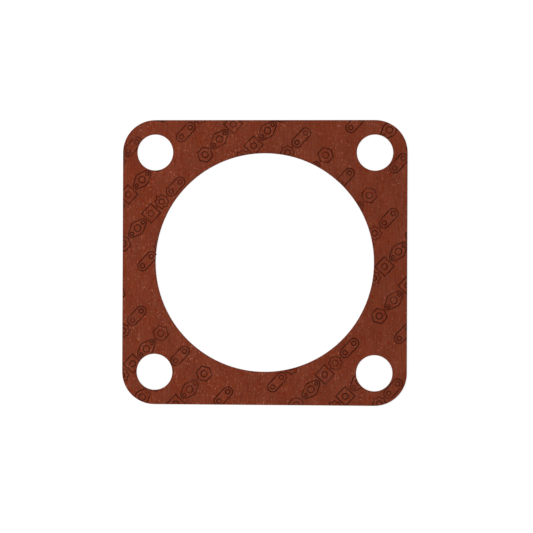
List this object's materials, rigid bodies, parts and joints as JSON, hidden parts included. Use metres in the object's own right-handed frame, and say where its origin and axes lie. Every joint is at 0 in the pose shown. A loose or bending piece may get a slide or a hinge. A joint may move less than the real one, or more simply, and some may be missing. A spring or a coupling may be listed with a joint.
{
  "type": "flange gasket",
  "caption": "Thin square fibre sheet gasket with rounded corners, a large round bore and a bolt hole in each corner.",
  "frame": {"origin": "on the bore's axis, at the sheet's lower face", "axes": "+Z out of the printed upper face, X and Y along the sides of the square, so the sheet lies flat; +Y is the top of the picture"},
  "size_m": [0.088, 0.088, 0.001],
  "materials": {
    "fibre_sheet": "matt red-brown compressed fibre sheet, fine grain running front to back, printed on the upper face only"
  },
  "bodies": {
    "root": {"gasket": "fibre_sheet"}
  },
  "joints": []
}
